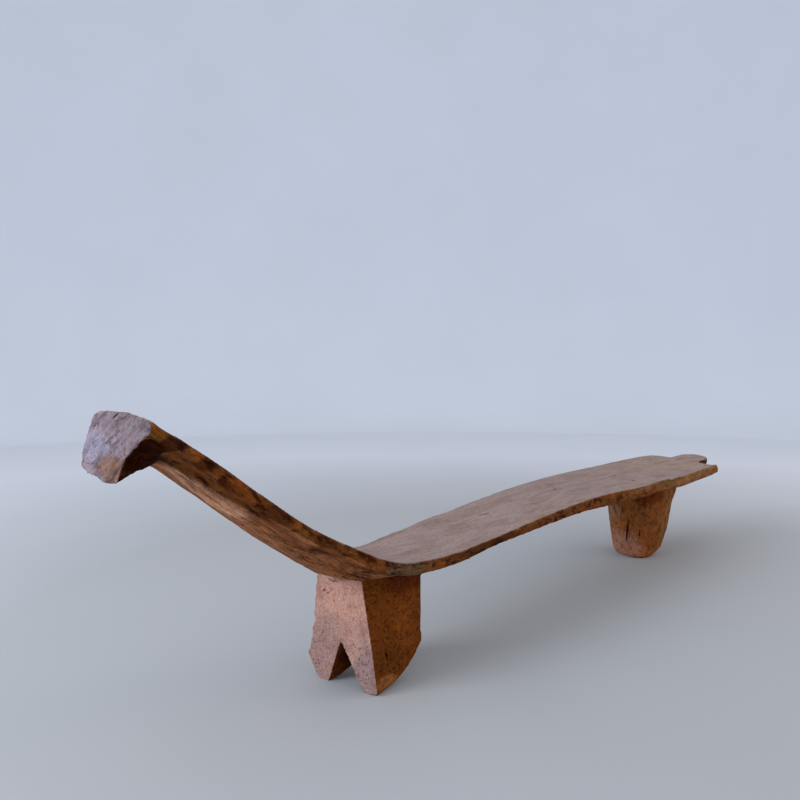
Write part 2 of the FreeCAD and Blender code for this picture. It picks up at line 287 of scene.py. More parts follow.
class Plank:
    """The plank's upper face and its two edges, as flowing curves in place of the frame's straight
    stretches."""

    def __init__(self, tree):
        self.tree = tree
        self.top = frame_line((0.3, 0.9), self.probe_top)
        self.near = frame_line(NEAR_SHARES, lambda place: self.probe_edge(place, -1))
        self.far = frame_line(FAR_SHARES, lambda place: self.probe_edge(place, 1))

    def probe_top(self, place):
        """Find the height of the upper face."""
        return self.tree.ray_cast(Vector((place, MIDDLE, 1)), Vector((0, 0, -1)))[0].z

    def probe_edge(self, place, side):
        """Find how far the near or the far edge lies from the middle."""
        start = Vector((place, side, self.probe_top(place) - 0.012))
        return abs(self.tree.ray_cast(start, Vector((0, -side, 0)))[0].y - MIDDLE)

    def height(self, places):
        """Give the height of the flowing upper face."""
        return flowing(places, *self.top) + flowing(places, *map(np.array, ARM_LIFT))

    def smooth(self, surface):
        """Bend the straight stretches of the plank into its flowing curves."""
        x, y, z = surface.points.T
        straight = np.interp(x, *self.top)
        depth = straight - z
        hold = ramp(x, CREST_PLACE, CREST_PLACE + 0.02) * (1 - ramp(depth, 0.045, 0.09))
        z += (self.height(x) - straight) * hold
        edge = ramp(MIDDLE - y, 0.05, 0.1) * ramp(depth, 0.008, 0.024) * (depth < 0.06)
        z += flowing(x, *map(np.array, EDGE_LIFT)) * edge
        for side, line in ((-1, self.near), (1, self.far)):
            wide = flowing(x, *line) / np.interp(x, *line)
            beside = (y - MIDDLE) * side > 0
            hold_wide = hold * (x < line[0][-1])
            y[beside] += ((y - MIDDLE) * (wide - 1) * hold_wide)[beside]
        surface.refresh()


def grain_places(points, plank):
    """Give each point's place along the grain, across the bed and above the plank's upper face. The
    grain follows the bend of the backrest."""
    stations = np.arange(cad_low.x, cad_high.x, 0.01)
    heights = plank.height(stations)
    slope = np.gradient(heights, stations)
    length = np.cumsum(np.hypot(1, slope)) * (stations[1] - stations[0])
    here = points[:, 0]
    rise = points[:, 2] - plank.height(here)
    tilt = np.arctan(np.interp(here, stations, slope))
    along = np.interp(here, stations, length) + np.maximum(rise, -0.06) * np.sin(tilt)
    return np.stack([along, points[:, 1] - MIDDLE, rise * np.cos(tilt)], axis=1)


def distance_to_path(points, path):
    """Give the distance to a path of corners, and the share of the way along it."""
    path = np.array(path)
    nearest = np.full(len(points), 9.0)
    share = np.zeros(len(points))
    for index in range(len(path) - 1):
        run = path[index + 1] - path[index]
        part = np.clip((points - path[index]) @ run / (run @ run), 0, 1)
        distance = np.linalg.norm(points - path[index] - part[:, None] * run, axis=1)
        share = np.where(distance < nearest, (index + part) / (len(path) - 1), share)
        nearest = np.minimum(nearest, distance)
    return nearest, share


def gouge(surface, path, radii):
    """Carve a round groove along a path of corners, each with its own radius. The cut starts at
    nothing and is full at the path's end."""
    path = np.array(path)
    nearest, share = distance_to_path(surface.points, path)
    place = share * (len(path) - 1)
    radius = np.interp(place, np.arange(len(path)), radii)
    cut = nearest < radius
    index = np.minimum(place[cut].astype(int), len(path) - 2)
    spot = path[index] + (path[index + 1] - path[index]) * (place[cut] - index)[:, None]
    away = surface.points[cut] - spot
    away /= np.linalg.norm(away, axis=1)[:, None]
    target = spot + away * radius[cut][:, None]
    surface.points[cut] += (target - surface.points[cut]) * share[cut][:, None]
    surface.refresh()


def shave(surface, place, facing, reach, ceiling=1.0):
    """Cut off what stands out beyond a plane near a place and below a ceiling."""
    facing = np.array(facing) / np.linalg.norm(facing)
    offset = surface.points - np.array(place)
    out = np.maximum(offset @ facing, 0) * hill(np.linalg.norm(offset, axis=1) / reach) ** 0.25
    out *= 1 - ramp(surface.points[:, 2], ceiling - 0.006, ceiling)
    surface.points -= out[:, None] * facing
    surface.refresh()


def round_end(surface, centre, outward, radius, reach):
    """Round the end of a plank over, above and below."""
    outward = np.array((*outward, 0.0)) / np.linalg.norm(outward)
    for angle in ROUND_ANGLES:
        turn = math.radians(angle)
        facing = outward * math.cos(turn) + np.array((0, 0, math.sin(turn)))
        shave(surface, np.array(centre) + facing * radius, facing, reach)


def mould(surface, centre, reach, move, facing=None):
    """Move the wood round a spot, most at its centre and nothing at its reach."""
    distance = np.linalg.norm((surface.points * MM - centre) / reach, axis=1)
    share = hill(distance)
    if facing is not None:
        share = share * ramp(surface.normals @ np.array(facing), 0.1, 0.5)
    surface.points += share[:, None] * np.array(move) / MM
    surface.refresh()


def refine(surface, near):
    """Divide the faces round some points so that they can hold finer shapes."""
    work = bmesh.new()
    work.from_mesh(surface.mesh)
    work.verts.ensure_lookup_table()
    edges = [edge for edge in work.edges if near[edge.verts[0].index] and near[edge.verts[1].index]]
    bmesh.ops.subdivide_edges(work, edges=edges, cuts=1, use_grid_fill=True)
    work.to_mesh(surface.mesh)
    work.free()
    surface.read()


# The rounding of the tongue's edge: the middle of the round, the way that it faces, and its reach
END_RADIUS = 0.014
END_REACH = 0.05
ROUND_ANGLES = (-65, -38, 20, 42, 65)
TONGUE_ENDS = (
    ((1.053, -0.0365), (0.27, -0.96)),
    ((1.11, -0.008), (0.7, -0.7)),
    ((1.128, 0.02), (1.0, 0.0)),
    ((1.118, 0.03), (0.7, 0.7)),
)

# The hollow beside the hook of the headrest, and the groove that it runs into between the plank and
# the keel: the middle of the round cut at some places, and its radius there
HOLLOW_PATH = ((-1.15, -0.09, 0.415), (-1.115, -0.086, 0.417), (-1.088, -0.07, 0.422))
HOLLOW_RADII = (0.0675, 0.062, 0.038)
GROOVE_PATH = (
    (-1.1, -0.056, 0.443),
    (-1.045, -0.052, 0.411),
    (-0.975, -0.054, 0.368),
    (-0.88, -0.056, 0.311),
)
GROOVE_RADII = (0.028, 0.0225, 0.016, 0.008)

# Where the hollow's painted shade and patina end along the bed, and at places along the bed how deep
# the plank's near side is and how far towards the middle the painted shade of the groove reaches
HOLLOW_SHADE_AND_PATINA_END = (-1.094, -1.076)
SIDE_DEPTH = (
    (-1.1, -1.04, -0.96, -0.92, -0.866, -0.8, -0.73, -0.64),
    (0.03, 0.033, 0.03, 0.0265, 0.024, 0.022, 0.0225, 0.027),
)
GROOVE_SHADE_REACH = ((-1.1, -1.04, -1.0, -0.96, -0.93), (-0.026, -0.032, -0.038, -0.056, -0.08))

# Flat cuts of the blade: a place on the cut, the way that it faces and how far it reaches, in
# millimetres
CUTS = (
    # the corners of the headrest's end face
    ((-1122.5, 56, 507.2), (-0.1, 0.72, 0.65), 40),
    ((-1122.5, 60, 499), (-0.1, 0.95, 0.3), 30),
    ((-1122.5, 44, 510), (-0.1, 0.35, 0.9), 30),
    ((-1128, -15, 511.5), (-0.55, 0.0, 0.85), 50),
    ((-1141, -5, 418), (-0.75, -0.1, -0.6), 50),
    ((-1115, -78, 498), (-0.2, -0.5, 0.85), 45),
    ((-1127, -69, 489), (-0.85, -0.5, 0.15), 30),
    # the facet at the bottom of that face
    ((-1134.5, -4, 455), (-1.0, 0.02, 0.11), 60),
    # the front and the near side of the near foot
    ((-682, -64, 2.5), (-0.75, -0.15, -0.6), 30),
    ((-660, -71.5, 8), (0.1, -0.8, -0.55), 50),
    # the outer side of the far foot
    ((-680, 82.5, 20.5), (-0.1, 0.85, -0.53), 40),
    ((-680, 72, 7.8), (-0.1, 0.65, -0.76), 30),
    # the sole of the rear leg, away from its front
    ((596.5, -52, 10.5), (0.25, -0.55, -0.8), 70),
    ((670, -20, 8), (0.6, -0.2, -0.8), 80),
    ((670, 30, 6), (0.6, 0.2, -0.8), 70),
    ((590, 55, 5), (-0.2, 0.6, -0.8), 60),
    # the rear leg narrows to its foot, away from its front
    ((664.8, -46.1, 55), (0.63, -0.78, -0.41), 130),
    ((690, 12, 55), (0.93, 0.1, -0.36), 110),
    # the end of the near lobe, above, below and at its corners
    ((927, -95, 242.5), (0.5, -0.15, 0.85), 50),
    ((935, -108, 234.5), (0.75, -0.25, 0.62), 45),
    ((930, -118, 236), (0.6, -0.3, 0.75), 40),
    ((934, -110, 225), (0.75, -0.3, -0.6), 40),
    ((931, -123, 235), (0.75, -0.65, 0.0), 30),
    ((932, -70, 240), (0.8, 0.5, 0.3), 25),
)

# The rear leg's facets: the way that each faces, in degrees from X, and how deep it cuts
STUMP_FACETS = (
    (155, 0.004), (200, 0.003), (232, 0.004), (268, 0.0045),
    (305, 0.002), (350, 0.004), (35, 0.004), (90, 0.005),
)
STUMP_RADIUS = 0.069
STUMP_SLOPE = 0.154
STUMP_HEIGHTS = (0.05, 0.15)
STUMP_REACH = 0.11
STUMP_ROOM = 0.004

# Wood moved round a spot: the spot, the reach along each axis, the move, and where only one face of
# the wood moves, the way that it faces. Lengths are millimetres. The headrest's end face comes first
HEAD_MOULDS = (
    # the headrest's end face is a little wider and deeper
    ((-1130, 57, 465), (30, 16, 60), (0, 2.8, 0)),
    ((-1139, 56, 438), (30, 24, 22), (0, 2.6, -1.2)),
    ((-1139, 48, 433), (30, 28, 22), (0, 1.4, -3)),
    ((-1141, 0, 420), (30, 36, 16), (0, 0, -2.8)),
    ((-1125, 40, 506), (30, 45, 20), (0, 1, 1.6)),
)

# The spots that are moved before the blade cuts
BLANK_MOULDS = (
    # the keel is shallower where it runs into the headrest
    ((-1077, -30, 432), (80, 60, 45), (0, 0, 5), (0, 0, -1)),
    ((-1048, -28, 412), (50, 60, 45), (0, 0, 3.4), (0, 0, -1)),
    # the two feet of the front leg and the near lobe reach out before the blade cuts them
    ((-680, 88, 28), (60, 26, 30), (0, 4, 0)),
    ((-682, -30, 15), (40, 20, 24), (0, 2.4, 0)),
    ((930, -112, 236), (55, 55, 50), (13, -2, 0)),
)

# The spots that are moved after it
LAST_MOULDS = (
    ((960, -105, SEAT_TOP * MM), (280, 55, 30), (0, 0, -5), (0, 0, 1)),
    ((507, -140, 250), (20, 14, 12), (0, 4, -4)),
    # the rear leg leans out at its front, and its top flares into the board behind
    ((560, -20, 4), (50, 55, 35), (-18, -7, 0)),
    ((572, 60, 60), (60, 60, 120), (-3, 3, 0)),
    ((718, -30, 222), (50, 70, 60), (15, -4, 0)),
    ((695, -65, 198), (70, 60, 60), (13, -10, 0)),
    # the underside runs down into the back of the front leg
    ((-540, 5, 190), (45, 85, 30), (2, 0, -6), (0.3, 0, -1)),
    # the far foot's side steps out above its bulge
    ((-660, 88, 52), (60, 20, 30), (0, 1.5, 0)),
    ((-675, 86, 86), (50, 20, 12), (0, 3.5, 0)),
    ((-675, 82, 104), (50, 20, 14), (0, -3.5, 0)),
    # the seat's far edge rises a little behind the front leg
    ((-400, 95, 222), (130, 40, 30), (0, 2, 1.5)),
    ((-300, 100, 226), (100, 40, 30), (0, 2, 4)),
)


def shape_members(surface):
    """Bring the plain members to the carved form, before any texture."""
    for spot in HEAD_MOULDS:
        mould(surface, *spot)
    gouge(surface, HOLLOW_PATH, HOLLOW_RADII)
    gouge(surface, GROOVE_PATH, GROOVE_RADII)
    for spot in BLANK_MOULDS:
        mould(surface, *spot)
    for place, facing, reach in CUTS:
        shave(surface, np.array(place) / MM, facing, reach / MM)
    for angle, depth in STUMP_FACETS:
        outward = (math.cos(math.radians(angle)), math.sin(math.radians(angle)))
        for height in STUMP_HEIGHTS:
            radius = STUMP_RADIUS + STUMP_SLOPE * height - depth
            place = (STUMP.x + outward[0] * radius, MIDDLE + outward[1] * radius, height)
            shave(surface, place, (*outward, -STUMP_SLOPE), STUMP_REACH, STUMP_HIGH.z - STUMP_ROOM)
    for place, outward in TONGUE_ENDS:
        round_end(surface, (*place, SEAT_TOP - END_RADIUS), outward, END_RADIUS, END_REACH)
    for spot in LAST_MOULDS:
        mould(surface, *spot)


def side_depth(places):
    """Give how deep the plank's near side is at places along the bed."""
    return np.interp(places, *SIDE_DEPTH)


# Between these parts of a normal a face turns upwards, and towards the head
UPWARD = (0.55, 0.8)
HEAD_FACING = (0.55, 0.85)
LEG_FACING = (0.5, 0.85)


def zones(surface, plank):
    """Give how much each point belongs to each kind of surface, from 0 to 1."""
    x, y, z = surface.points.T
    nx, nz = surface.normals[:, 0], surface.normals[:, 2]
    depth = plank.height(x) - z
    below = ramp(depth - side_depth(x), -0.002, 0.002)
    leg = (x > LEG_FACE - 0.03) & (x < LEG_BACK + 0.03) & (z < LEG_TOP - 0.06 * (x - LEG_FACE))
    stump = (x > STUMP_LOW.x - 0.02) & (x < STUMP_HIGH.x + 0.02) & (z < STUMP_HIGH.z)
    board = ~leg & ~stump
    hook = ramp(depth, 0.025, 0.03) * (x > NECK - 0.032)
    head_end = ramp(-nx, *HEAD_FACING) * (x < NECK - 0.02) * (1 - hook)
    rest = board * (1 - head_end)
    found = {
        "head": board * head_end,
        "top": rest * ramp(nz, *UPWARD),
        "side": rest * (1 - ramp(nz, *UPWARD)) * (1 - below),
        "keel": rest * (x < WAIST) * below,
        "under": rest * (x >= WAIST) * below,
        "leg_front": leg * ramp(-nx, *LEG_FACING),
        "leg_side": leg * (1 - ramp(-nx, *LEG_FACING)),
        "stump": stump * 1.0,
    }
    return {name: surface.soften(np.asarray(share, float), 1) for name, share in found.items()}


def scallops(share, places, seed):
    """Give the height of tool marks where a share is above 0, and each mark's own number."""
    height = np.zeros(len(share))
    number = np.zeros(len(share))
    marked = share > 0.01
    distance, number[marked] = cells_at(places[marked], seed)
    height[marked] = (distance ** 2 - 0.35) * share[marked]
    return height, number


# The tool marks: their depth on some kinds of surface, whether they follow the grain, how many lie in
# a metre along each axis, and their seed
TOOL_MARKS = (
    ({"top": 0.0008, "side": 0.002, "keel": 0.0024, "under": 0.0024}, True, (13, 34, 34), 21),
    ({"head": 0.0032}, False, (20, 34, 38), 31),
    ({"leg_front": 0.0018, "leg_side": 0.003}, False, (20, 26, 30), 41),
    ({"stump": 0.006}, False, (28, 28, 13), 51),
)


# The uneven hand's swell, the fibres and the keel's furrows: how many lie in a metre along each axis,
# and their seed. The fibres are fainter on the upper face
FINE_MARKS = (((6, 14, 14), 11), ((50, 130, 130), 61), ((14, 120, 120), 71))
SWELL_HEIGHT = 0.0012
FIBRE_HEIGHT = 0.0006
FURROW_DEPTH = 0.0036
FURROW_SHARE = 0.15
TOP_POLISH = 0.6


def hew(surface, grain, zone):
    """Cut the tool marks: shallow scallops, longer along the grain, and an uneven hand. Give each
    mark's own number."""
    height = np.zeros(len(grain))
    numbers = np.zeros(len(grain))
    for depths, follows, scale, seed in TOOL_MARKS:
        share = sum(depth * zone[name] for name, depth in depths.items())
        mark, number = scallops(share, (grain if follows else surface.points) * scale, seed)
        height += mark
        numbers += number
    swell, fibres, furrows = [rough(grain * scale, seed) for scale, seed in FINE_MARKS]
    height += SWELL_HEIGHT * swell + FIBRE_HEIGHT * fibres * (1 - TOP_POLISH * zone["top"])
    height += FURROW_DEPTH * np.minimum(furrows + FURROW_SHARE, 0) * zone["keel"]
    surface.push(height)
    return numbers


# Drying cracks: their width, their depth and the places they run through, in millimetres
CRACKS = (
    # the headrest's end face
    (1.7, 3, ((-1122.8, -1.4, 510.6), (-1125.2, 11.8, 499.5))),
    (0.8, 1.2, ((-1125.2, 11.8, 499.5), (-1127.1, 28.3, 490.7), (-1128.4, 41.2, 484.7))),
    (1, 1.4, ((-1124, -23, 508), (-1126, -10, 499))),
    (0.9, 1.2, ((-1126, -56, 499), (-1129, -42, 485))),
    (1, 1.6, ((-1138, 33, 448), (-1139, 35, 435), (-1140, 16, 422))),
    # the top of the front leg
    (1.4, 2.2, ((-682.5, 45.1, 187.1), (-682.5, 30.3, 184.8), (-682.5, 13.2, 186.8))),
    (1, 1.6, ((-682.5, 35, 188), (-682.5, 15, 190.5), (-682.5, -20, 190.5))),
    # the rear leg
    (3.8, 11, ((538.1, -0.1, 107.9), (542.4, 7.5, 79.5), (547.5, 12.4, 48.2))),
    (3, 6, ((547.1, -30, 98.5), (550, -29, 70), (554.1, -24.9, 43.4))),
    (3.4, 7, ((607.3, -86.3, 155.2), (600.4, -77.7, 110.9), (598, -70.3, 68.9))),
    (2.8, 5.5, ((549, -4, 30), (551.8, -1.6, 10), (556, 0, 0))),
    (2.2, 4, ((551, -20, 24), (556, -17, 0))),
    (4, 8, ((705, 30, 170), (696, 34, 110), (685, 30, 50))),
    (3.4, 6, ((640, 98, 140), (635, 90, 90))),
    # the end of the tongue
    (2, 3.5, ((1140, 12, 236), (1115, 10, 250), (1070, 6, 250))),
)
CRACK_NARROWING = 0.65

# Worm holes, knots and dents: the place, the radius and the depth, in millimetres
PITS = (
    ((-682.5, 52.8, 164.4), 2.4, 4),
    ((-682.5, 50, 168), 1.6, 3),
    ((-682.5, 42.8, 160.8), 1.8, 3),
    ((-682.5, 28, 150.8), 1.4, 3),
    ((-646.6, -65.4, 58.6), 4, 9),
    ((-649, -66, 64), 2.6, 6),
    ((-645.8, -65, 52.5), 3, 6),
    ((-921.8, -10.5, 328.9), 4, 5),
    ((-914, -18, 326), 2.6, 4),
    ((-833.9, -10.7, 271.3), 3.4, 5),
)

# Short dents across the seat: the place along and across the bed
DENTS = (
    (0.781, 0.02), (0.444, 0.012), (0.28, -0.028), (0.6, -0.06), (0.52, 0.048), (0.35, 0.04),
    (0.12, 0.02), (-0.06, -0.03), (-0.2, 0.025), (0.69, -0.03), (0.86, 0.04), (0.4, -0.07),
    (0.655, 0.07), (0.2, 0.06), (-0.38, 0.0), (-0.95, 0.01), (-0.86, -0.03), (-1.03, 0.02),
)
DENT_LENGTH = 0.024
DENT_WIDTH = 0.0038
DENT_DEPTH = 0.0024

# A knot hole in the seat's near edge: its place along and across the bed, its depth below the upper
# face, and its radius
KNOT = (-0.6418, -0.0819, 0.005, 0.004)


# How often a crack's line wavers in a metre, and how far
WAVER_SCALE = 90
WAVER_WIDTH = 0.0016


def damage(plank):
    """List every crack, pit and dent: its width, its depth, its path, and how much its ends narrow."""
    found = []
    for width, depth, path in CRACKS:
        found.append((width / MM, depth / MM, np.array(path) / MM, CRACK_NARROWING))
    for place, radius, depth in PITS:
        path = np.array((place, place)) / MM
        path[1, 1] += 0.0005
        found.append((radius / MM, depth / MM, path, 0.0))
    along, across, below, radius = KNOT
    place = (along, across, float(plank.height(np.array([along]))[0]) - below)
    found.append((radius, radius * 2, (place, (along, across - 0.004, place[2])), 0.0))
    for index, (along, across) in enumerate(DENTS):
        turn = 0.9 + 0.7 * math.sin(index * 2.4)
        half = DENT_LENGTH / 2 * (1 + 0.4 * math.sin(index * 1.7))
        step_along = half * math.sin(turn)
        step_across = half * math.cos(turn)
        ends = []
        for sign in (-1, 1):
            here = along + sign * step_along
            there = across - sign * step_across
            ends.append((here, there, float(plank.height(np.array([here]))[0])))
        found.append((DENT_WIDTH, DENT_DEPTH, tuple(ends), CRACK_NARROWING))
    return found


def near_damage(surface, marks, reach):
    """Say which points lie within a reach of any mark."""
    near = np.zeros(len(surface.points), bool)
    for width, depth, path, narrowing in marks:
        near |= distance_to_path(surface.points, path)[0] < width + reach
    return near


def cut_damage(surface, marks):
    """Sink the cracks, pits and dents. Give how deep in one of them each point lies, from 0 to 1."""
    dark = np.zeros(len(surface.points))
    waver = noise(surface.points * WAVER_SCALE, 81) * WAVER_WIDTH
    for width, depth, path, narrowing in marks:
        distance, share = distance_to_path(surface.points + waver[:, None], path)
        taper = 1 - narrowing * (1 - 4 * share * (1 - share))
        inside = np.clip(1 - distance / (width * taper), 0, 1)
        surface.points -= surface.normals * (np.sqrt(inside) * depth * taper)[:, None]
        dark = np.maximum(dark, np.minimum(inside * 2.5, 1) * min(1, depth / 0.003))
    surface.refresh()
    return dark


def srgb(red, green, blue):
    """Turn a colour on the usual 255 scale into the linear one that shaders use."""
    parts = np.array((red, green, blue)) / 255
    return np.where(parts > 0.04, ((parts + 0.055) / 1.055) ** 2.4, parts / 12.92)


# Each kind of surface: its colour, how strongly it is mottled, fissured, speckled and streaked, and
# how strongly it reflects: hands and backs have polished the upper face. The kinds part by the way
# that a face turns, and their colours are partly the wood's own tones and partly painted light and
# shade: faces towards the window lamp are painted paler and cooler, faces turned away darker and more
# orange, and the upper face's mauve is partly a painted reflection
FINISHES_AND_FACING_SHADE = {
    "head": ((143, 133, 148), 0.5, 0.55, 0.5, 0.3, 0.1),
    "top": ((153, 135, 132), 0.1, 0.2, 0.15, 0.2, 0.2),
    "side": ((126, 77, 36), 0.95, 0.6, 0.3, 0.6, 0.04),
    "keel": ((182, 124, 86), 0.45, 1.0, 0.3, 0.9, 0.04),
    "under": ((114, 72, 38), 0.6, 0.5, 0.2, 0.8, 0.04),
    "leg_front": ((178, 142, 134), 0.2, 0.0, 1.0, 0.1, 0.06),
    "leg_side": ((114, 62, 18), 0.55, 0.0, 0.6, 0.1, 0.03),
    "stump": ((152, 94, 50), 0.55, 0.35, 0.45, 0.3, 0.05),
}

# Patches of another colour: the kind of surface, the middle and the reach along each axis in
# millimetres, the colour and the strength
PATCHES = (
    # the headrest's end face: bluish in the middle, tan below, grey above
    ("head", (-1132, 40, 462), (30, 30, 24), (146, 149, 177), 0.6),
    ("head", (-1139, -6, 436), (30, 42, 21), (130, 101, 90), 0.9),
    ("head", (-1125, -30, 497), (20, 60, 22), (122, 112, 122), 0.55),
    # the plank's near side at the neck is olive, and has dark knots further down
    ("side", (-1112, -75, 490), (24, 20, 20), (128, 84, 34), 0.8),
    ("side", (-1085, -76.5, 470), (34, 20, 12), (64, 28, 10), 0.85),
    ("side", (-1040, -76.5, 438), (30, 20, 10), (64, 28, 10), 0.75),
    ("side", (-1075, -76.5, 450), (40, 20, 7), (146, 84, 36), 0.7),
    ("side", (-985, -76, 400), (30, 20, 20), (124, 62, 20), 0.6),
    ("side", (-905, -78, 350), (45, 20, 26), (80, 44, 19), 0.75),
    ("side", (-800, -82, 296), (40, 20, 16), (78, 40, 16), 0.7),
    ("side", (-620, -84, 208), (80, 20, 24), (112, 92, 68), 0.85),
    ("side", (-350, -95, 215), (140, 20, 24), (82, 46, 18), 0.85),
    ("side", (750, -130, 250), (500, 60, 40), (156, 116, 74), 0.8),
    # the keel's near flank is painted pale pink below the groove, as painted light where it catches
    # light from below
    ("keel", (-1010, -30, 380), (110, 30, 80), (240, 190, 156), 0.9),
    ("keel", (-800, -70, 272), (50, 30, 20), (96, 52, 22), 0.7),
    ("side", (480, -140, 245), (60, 30, 20), (112, 84, 46), 0.6),
    # the tongue's near side in the notch: painted shade
    ("side", (985, -61, 240), (65, 24, 30), (76, 42, 26), 0.9),
    # the leg's front: orange pink at the top, mauve below
    ("leg_front", (-682.5, -10, 168), (20, 70, 50), (198, 154, 140), 0.7),
    ("leg_front", (-682.5, 50, 50), (20, 50, 70), (150, 124, 122), 0.75),
    ("leg_front", (-682.5, -55, 30), (20, 36, 64), (146, 124, 126), 0.8),
    # the leg's near side: red and nearly black under the plank, a painted shadow, ochre in the middle,
    # lighter at the foot
    ("leg_side", (-600, -64, 180), (100, 20, 26), (96, 42, 14), 0.85),
    ("leg_side", (-605, -66, 200), (85, 20, 14), (62, 22, 8), 0.9),
    ("leg_side", (-590, -70, 110), (40, 20, 50), (138, 80, 34), 0.5),
    ("leg_side", (-645, -68, 52), (45, 20, 34), (94, 54, 18), 0.7),
    ("leg_side", (-655, -72, 12), (35, 20, 18), (150, 96, 54), 0.85),
    # between the two feet: painted shade
    ("leg_side", (-612, 5, 30), (75, 36, 52), (72, 22, 12), 0.92),
    # the rear leg: grey in front, partly painted light where the window lamp falls on it; red at the top
    # of its near side, partly a painted shadow under the board; olive behind
    ("stump", (535, 70, 130), (30, 40, 120), (156, 122, 98), 0.8),
    ("stump", (548, 30, 30), (40, 70, 50), (166, 122, 106), 0.8),
    ("stump", (560, -40, 190), (50, 50, 40), (120, 54, 20), 0.8),
    ("stump", (660, -80, 100), (80, 45, 120), (146, 104, 56), 0.75),
    # the seat: paler beside its near edge, rosier towards the foot
    ("top", (100, -95, 245), (500, 30, 20), (154, 134, 126), 0.45),
    ("top", (800, 0, 250), (250, 140, 20), (160, 138, 126), 0.65),
)
# The hollow beside the hook is painted dark, partly as its dark patina and partly as painted shade, and the
# band of the groove below the plank's near side as painted shade: their colours and strengths
HOLLOW_SHADE_AND_PATINA_COLOUR = (52, 20, 7)
GROOVE_SHADE_COLOUR = (64, 32, 12)
HOLLOW_SHADE_AND_PATINA_STRENGTH = 0.94
GROOVE_SHADE_STRENGTH = 0.85

# Where the pits of the leg's front thin out upwards, and the mottles of the side towards the foot
PIT_FADE = (0.07, 0.13)
PIT_LOSS = 0.65
EDGE_FADE = (0.1, 0.5)
EDGE_LOSS = 0.55
HOLLOW_LOSS = 0.8


def paint(surface, plank, zone):
    """Give each point's colour, how mottled, fissured, speckled and streaked it is, and how strongly
    it reflects."""
    total = np.full((len(surface.points), 1), 1e-3)
    colour = total * srgb(*FINISHES_AND_FACING_SHADE["side"][0])
    amounts = np.zeros((len(surface.points), 5))
    # each kind's colour, partly painted light and shade by the way that its faces turn
    for name, share in zone.items():
        colour = colour + share[:, None] * srgb(*FINISHES_AND_FACING_SHADE[name][0])
        amounts += share[:, None] * np.array(FINISHES_AND_FACING_SHADE[name][1:])
        total = total + share[:, None]
    colour = colour / total
    amounts = amounts / total
    warp = np.stack([rough(surface.points * 45, 90 + axis) for axis in range(3)], axis=1) * 0.35
    for name, centre, reach, patch_colour, strength in PATCHES:
        distance = np.linalg.norm((surface.points * MM - centre) / reach + warp, axis=1)
        share = ramp(1.15 - distance, 0, 0.5) * strength * np.minimum(zone[name] / total[:, 0], 1)
        colour += (srgb(*patch_colour) - colour) * share[:, None]
    x, y, z = surface.points.T
    depth = plank.height(x) - z
    # painted shade: the groove below the plank's near side is darkened as if in shadow, and the hollow
    # beside the hook for its shade and its dark patina; the hollow also reflects less
    below = ramp(depth - side_depth(x), -0.003, -0.001) * (1 - zone["head"])
    hollow_shade_and_patina = below * (1 - ramp(x, *HOLLOW_SHADE_AND_PATINA_END))
    reach = np.interp(x, *GROOVE_SHADE_REACH)
    groove = below * (1 - ramp(y, reach - 0.004, reach + 0.004)) * (x < GROOVE_SHADE_REACH[0][-1])
    colour += (srgb(*GROOVE_SHADE_COLOUR) - colour) * (GROOVE_SHADE_STRENGTH * groove)[:, None]
    colour += (srgb(*HOLLOW_SHADE_AND_PATINA_COLOUR) - colour) * (HOLLOW_SHADE_AND_PATINA_STRENGTH * hollow_shade_and_patina)[:, None]
    # the leg's pits crowd at its feet, and the seat's near edge is smoother towards the foot
    amounts[:, 2] *= 1 - PIT_LOSS * zone["leg_front"] * ramp(z, *PIT_FADE)
    amounts[:, 0] *= 1 - EDGE_LOSS * zone["side"] * ramp(x, *EDGE_FADE)
    amounts[:, 4] *= 1 - HOLLOW_LOSS * hollow_shade_and_patina
    return colour, amounts[:, :4], amounts[:, 4]


def keep(mesh, name, kind, values):
    """Store numbers on a mesh's points for its material."""
    field = {"FLOAT": "value", "FLOAT_VECTOR": "vector", "FLOAT_COLOR": "color"}[kind]
    layer = mesh.attributes.new(name, kind, "POINT")
    layer.data.foreach_set(field, np.ascontiguousarray(values, np.float32).ravel())


def turned(points, along, across):
    """Give places measured along and across two directions and square to both."""
    along = np.array(along) / np.linalg.norm(along)
    across = np.array(across) - along * (along @ np.array(across))
    across /= np.linalg.norm(across)
    return points @ np.stack([along, across, np.cross(along, across)], axis=1)


# How often the surface is smoothed before and after its members are shaped
FIRST_TURNS = 5
SECOND_TURNS = 1

# Wear is full where a point stands this far out of its surroundings, which are this wide in turns
WEAR_HEIGHT = 0.0012
WEAR_TURNS = 6

# Finer points lie within these reaches of the damage, the second time and the first
FINE_REACHES = (0.002, 0.005)
LEG_ROOM = 0.01
HEAD_ROOM = 0.02

# The headrest's grain slants across its end face, and the legs' grain is shorter than the plank's
HEAD_GRAIN = ((0, 0.81, -0.59), (0, 0.59, 0.81))
LEG_GRAIN = (4.5, 1.5, 1.5)
STUMP_GRAIN = (1.4, 0.9, 0.9)


